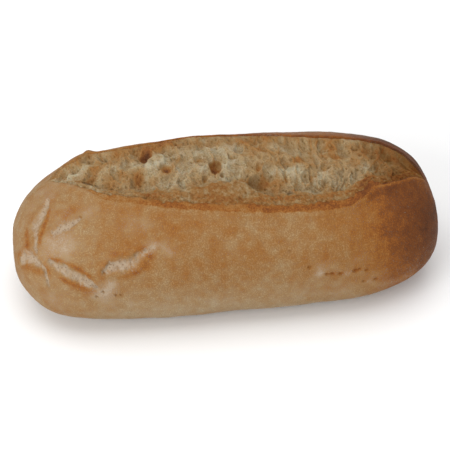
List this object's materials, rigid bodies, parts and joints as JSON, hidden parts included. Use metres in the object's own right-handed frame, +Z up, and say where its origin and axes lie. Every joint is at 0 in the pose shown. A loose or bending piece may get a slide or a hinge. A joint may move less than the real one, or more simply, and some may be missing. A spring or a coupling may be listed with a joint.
{
  "type": "bolillo roll",
  "caption": "Small oblong wheat roll with a browned crust and one long slash opened over torn crumb.",
  "frame": {"origin": "centre of the bounding box, on the flat underside that lay on the oven tray", "axes": "+X along the roll to its darker end, +Y to the rear side of the slash, +Z up"},
  "size_m": [0.1502, 0.0671, 0.0489],
  "materials": {
    "crust": "matte"
  },
  "bodies": {
    "root": {"roll": "crust"}
  },
  "joints": []
}
